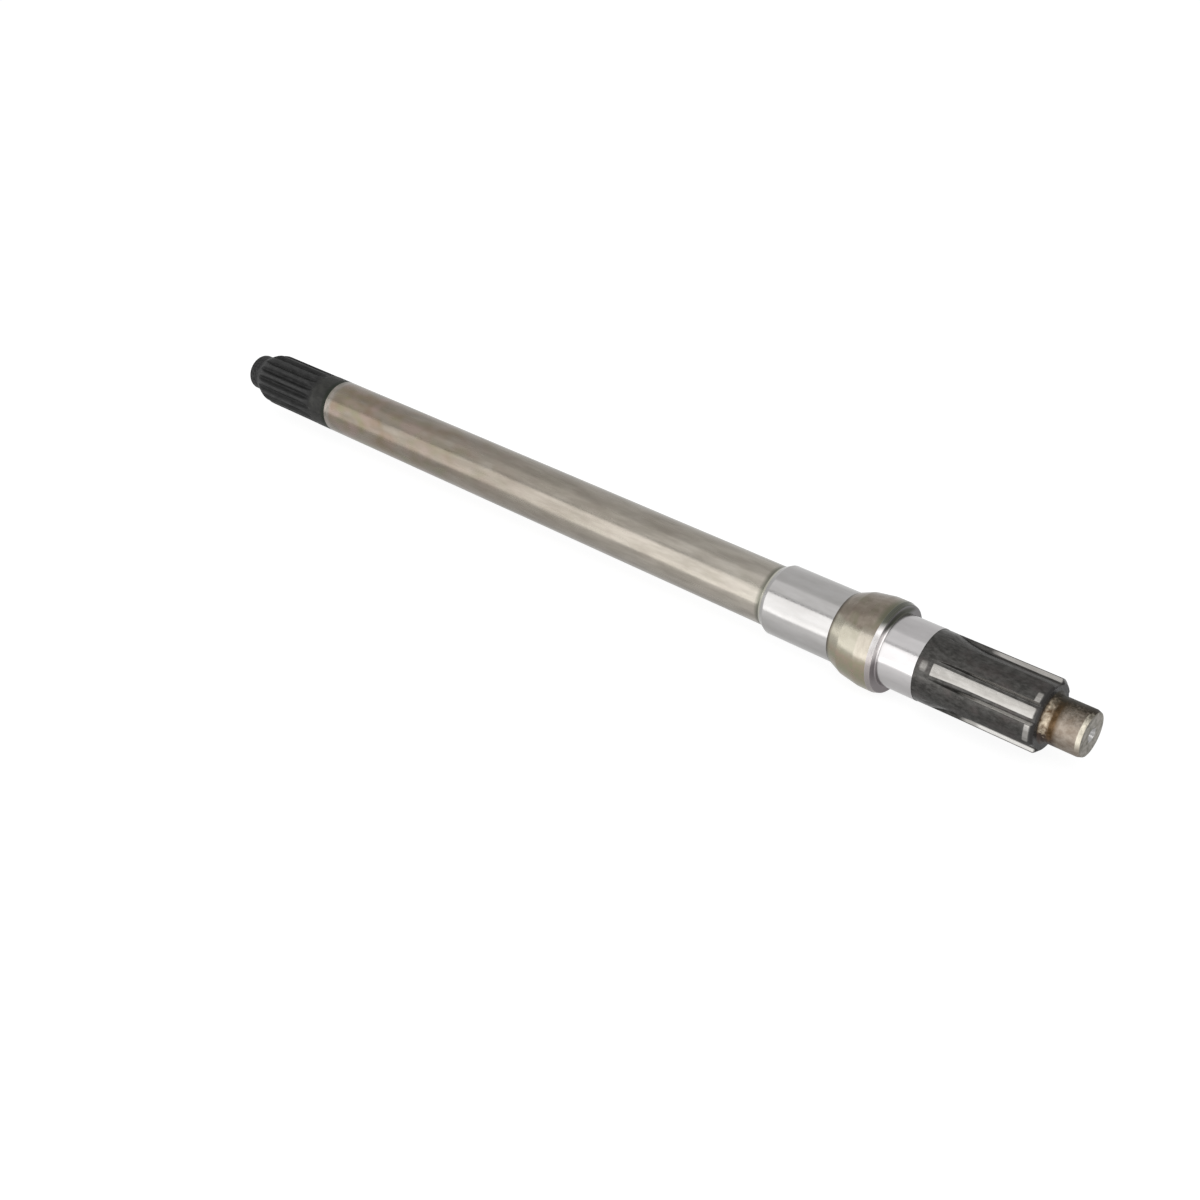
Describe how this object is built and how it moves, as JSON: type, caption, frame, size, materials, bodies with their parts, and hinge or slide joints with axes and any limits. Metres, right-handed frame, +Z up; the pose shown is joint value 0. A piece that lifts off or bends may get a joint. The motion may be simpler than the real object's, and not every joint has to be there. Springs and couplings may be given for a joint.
{
  "type": "rear axle shaft",
  "caption": "Steel rear axle shaft with a fine spline at its inner end, ground seats on both sides of a collar, and a straight-sided drive spline that ends in a plain stub.",
  "frame": {"origin": "on the shaft's axis, in the middle of the ground bearing seat", "axes": "+X along the shaft towards the plain stub at the outer end, +Z up through the middle of a groove of the fine spline, +Y to the side"},
  "size_m": [0.5539, 0.0444, 0.0443],
  "materials": {
    "steel": "turned bar, ground and polished on the seats, black oxide on the fine spline, dark heat-treatment skin on the drive spline, thin brown stain on the collar and at the stub's root"
  },
  "bodies": {
    "root": {"axle_shaft": "steel"}
  },
  "joints": []
}
